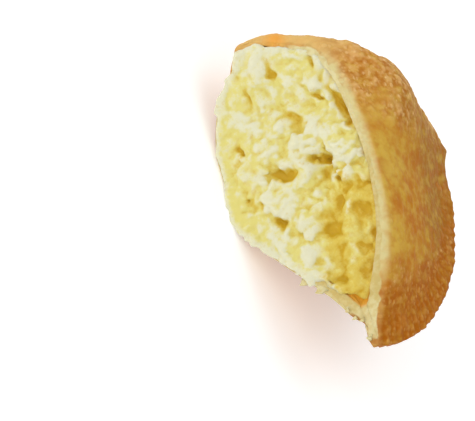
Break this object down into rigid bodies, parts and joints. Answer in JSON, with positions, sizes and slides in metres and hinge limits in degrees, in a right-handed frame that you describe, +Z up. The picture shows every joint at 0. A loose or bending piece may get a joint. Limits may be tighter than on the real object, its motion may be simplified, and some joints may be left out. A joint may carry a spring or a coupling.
{
  "type": "fried cheese pastry",
  "caption": "Cut half of a fried half-moon turnover with a crimped rim, open at the cut to show crumbled cheese filling.",
  "frame": {"origin": "middle of the part's bounding box, on the surface that the pastry lies on", "axes": "+X along the cut from the fold to the crimped edge, +Y away from the cut, +Z up"},
  "size_m": [0.0842, 0.0694, 0.0418],
  "materials": {
    "crust": null,
    "filling": null
  },
  "bodies": {
    "root": {"crust": "crust", "filling": "filling"}
  },
  "joints": []
}
